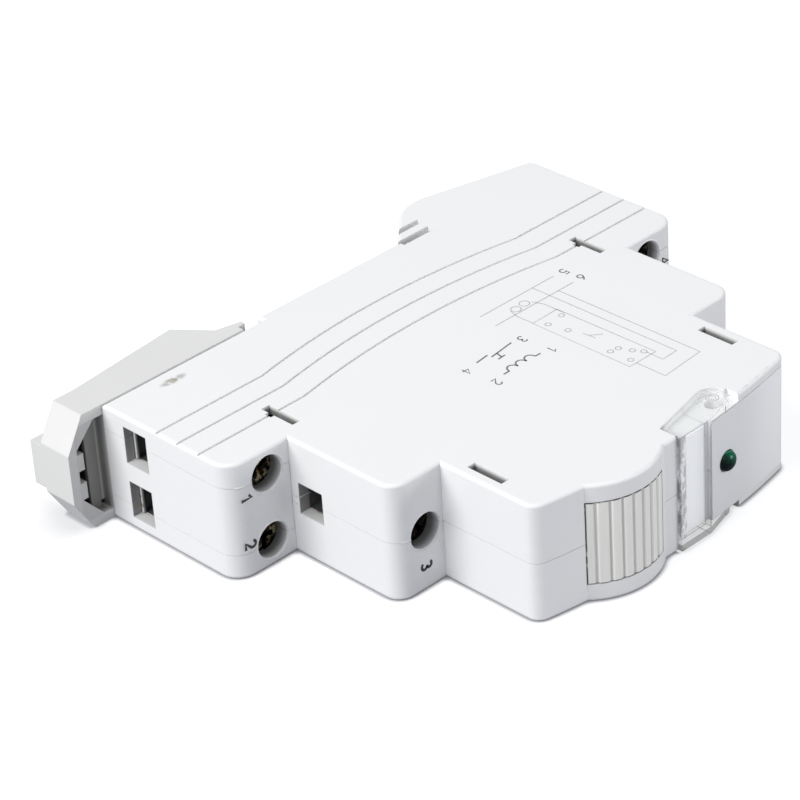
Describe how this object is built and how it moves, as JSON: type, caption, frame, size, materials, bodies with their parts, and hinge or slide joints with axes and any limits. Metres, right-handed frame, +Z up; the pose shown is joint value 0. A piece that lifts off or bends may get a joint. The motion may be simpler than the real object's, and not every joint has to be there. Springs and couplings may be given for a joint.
{
  "type": "smart energy monitor",
  "caption": "One-module energy monitor for a top-hat rail, with screw terminals, rail clip, ribbed button, label flap and status light.",
  "frame": {"origin": "On the side face that the meter lies on, half-way along its length and about half-way between the rail seat and the front.", "axes": "+Z up, across the meter's thickness. X along the rail clip's travel, with the clip at -X and the fixed hook at +X. -Y is the front with the button and the light, +Y is the rail side."},
  "size_m": [0.0945, 0.0747, 0.018],
  "materials": {
    "housing": "fine matt, nearly white",
    "clip_grey": "satin light grey",
    "button_cream": "matt warm grey",
    "clear_flap": "clear, polished",
    "label_paper": "plain, unprinted",
    "foil": "printed foil, no print",
    "led_lens": "dark green lens",
    "tinned_lead": "tinned",
    "board_green": "solder resist",
    "board_dark": "solder resist",
    "switch_black": "matt",
    "plunger_white": "satin",
    "shield_tin": "tinned sheet",
    "resistor_coat": "coated",
    "varistor_blue": "coated",
    "chip_black": "moulded",
    "capacitor_sleeve": "sleeved can",
    "ferrite": "sintered",
    "winding_tape": "polyester tape",
    "screw_brass": "dark brass",
    "cage_steel": "zinc plated",
    "bar_brass": "bright",
    "spring_steel": "bright"
  },
  "bodies": {
    "housing": {"upper_shell": "housing", "lower_shell": "housing", "carrier_near": "housing", "carrier_far": "housing", "clip_spring": "spring_steel", "label_strip": "label_paper", "front_foil": "foil", "status_led": "led_lens", "led_leads": "tinned_lead", "main_board": "board_green", "tact_switch": "switch_black", "wifi_board": "board_dark", "wifi_shield": "shield_tin", "fuse_resistor": "resistor_coat", "varistor": "varistor_blue", "bridge_rectifier": "chip_black", "bulk_capacitor": "capacitor_sleeve", "output_capacitor": "capacitor_sleeve", "transformer_core": "ferrite", "transformer_winding": "winding_tape", "meter_chip": "chip_black", "crystal": "shield_tin", "burden_resistors": "chip_black", "bar_load_1": "bar_brass", "bar_load_2": "bar_brass", "bar_supply_1": "bar_brass", "bar_supply_2": "bar_brass", "bar_switch_near": "bar_brass", "bar_switch_far": "bar_brass"},
    "clip": {"rail_clip": "clip_grey"},
    "flap": {"label_flap": "clear_flap"},
    "button": {"ribbed_button": "button_cream"},
    "plunger": {"tact_plunger": "plunger_white"},
    "screw_load_1": {"screw_load_1": "screw_brass"},
    "cage_load_1": {"cage_load_1": "cage_steel"},
    "screw_load_2": {"screw_load_2": "screw_brass"},
    "cage_load_2": {"cage_load_2": "cage_steel"},
    "screw_supply_1": {"screw_supply_1": "screw_brass"},
    "cage_supply_1": {"cage_supply_1": "cage_steel"},
    "screw_supply_2": {"screw_supply_2": "screw_brass"},
    "cage_supply_2": {"cage_supply_2": "cage_steel"},
    "screw_switch_near": {"screw_switch_near": "screw_brass"},
    "cage_switch_near": {"cage_switch_near": "cage_steel"},
    "screw_switch_far": {"screw_switch_far": "screw_brass"},
    "cage_switch_far": {"cage_switch_far": "cage_steel"}
  },
  "joints": [
    {"name": "clip_slide", "type": "slide", "parent": "housing", "child": "clip", "axis": [-1, 0, 0], "range_m": [0, 0.0035], "stiffness_N_per_m": 700, "springref_m": -0.002, "deforming": ["clip_spring"]},
    {"name": "flap_hinge", "type": "hinge", "parent": "housing", "child": "flap", "pos_m": [0.00986, -0.0287, 0.009], "axis": [0, 0, 1], "range_deg": [0, 85]},
    {"name": "button_press", "type": "slide", "parent": "housing", "child": "button", "axis": [0, 1, 0], "range_m": [0, 0.0008], "stiffness_N_per_m": 250, "springref_m": -0.0015},
    {"name": "plunger_press", "type": "slide", "parent": "housing", "child": "plunger", "axis": [0, 1, 0], "range_m": [0, 0.0008]},
    {"name": "screw_turn_load_1", "type": "hinge", "parent": "housing", "child": "screw_load_1", "pos_m": [-0.03735, 0.00925, 0.01425], "axis": [0, 1, 0], "range_deg": [0, 2160]},
    {"name": "cage_lift_load_1", "type": "slide", "parent": "housing", "child": "cage_load_1", "axis": [0, -1, 0], "range_m": [0, 0.003]},
    {"name": "screw_turn_load_2", "type": "hinge", "parent": "housing", "child": "screw_load_2", "pos_m": [-0.03735, 0.00925, 0.00375], "axis": [0, 1, 0], "range_deg": [0, 2160]},
    {"name": "cage_lift_load_2", "type": "slide", "parent": "housing", "child": "cage_load_2", "axis": [0, -1, 0], "range_m": [0, 0.003]},
    {"name": "screw_turn_supply_1", "type": "hinge", "parent": "housing", "child": "screw_supply_1", "pos_m": [0.03735, 0.00925, 0.01425], "axis": [0, 1, 0], "range_deg": [0, 2160]},
    {"name": "cage_lift_supply_1", "type": "slide", "parent": "housing", "child": "cage_supply_1", "axis": [0, -1, 0], "range_m": [0, 0.003]},
    {"name": "screw_turn_supply_2", "type": "hinge", "parent": "housing", "child": "screw_supply_2", "pos_m": [0.03735, 0.00925, 0.00375], "axis": [0, 1, 0], "range_deg": [0, 2160]},
    {"name": "cage_lift_supply_2", "type": "slide", "parent": "housing", "child": "cage_supply_2", "axis": [0, -1, 0], "range_m": [0, 0.003]},
    {"name": "screw_turn_switch_near", "type": "hinge", "parent": "housing", "child": "screw_switch_near", "pos_m": [-0.028, -0.01025, 0.009], "axis": [0, 1, 0], "range_deg": [0, 2160]},
    {"name": "cage_lift_switch_near", "type": "slide", "parent": "housing", "child": "cage_switch_near", "axis": [0, -1, 0], "range_m": [0, 0.003]},
    {"name": "screw_turn_switch_far", "type": "hinge", "parent": "housing", "child": "screw_switch_far", "pos_m": [0.028, -0.01025, 0.009], "axis": [0, 1, 0], "range_deg": [0, 2160]},
    {"name": "cage_lift_switch_far", "type": "slide", "parent": "housing", "child": "cage_switch_far", "axis": [0, -1, 0], "range_m": [0, 0.003]}
  ],
  "couplings": [
    {"joint": "plunger_press", "follows": "button_press", "ratio": 1},
    {"joint": "screw_turn_load_1", "follows": "cage_lift_load_1", "rad_per_m": 12566},
    {"joint": "screw_turn_load_2", "follows": "cage_lift_load_2", "rad_per_m": 12566},
    {"joint": "screw_turn_supply_1", "follows": "cage_lift_supply_1", "rad_per_m": 12566},
    {"joint": "screw_turn_supply_2", "follows": "cage_lift_supply_2", "rad_per_m": 12566},
    {"joint": "screw_turn_switch_near", "follows": "cage_lift_switch_near", "rad_per_m": 12566},
    {"joint": "screw_turn_switch_far", "follows": "cage_lift_switch_far", "rad_per_m": 12566}
  ]
}
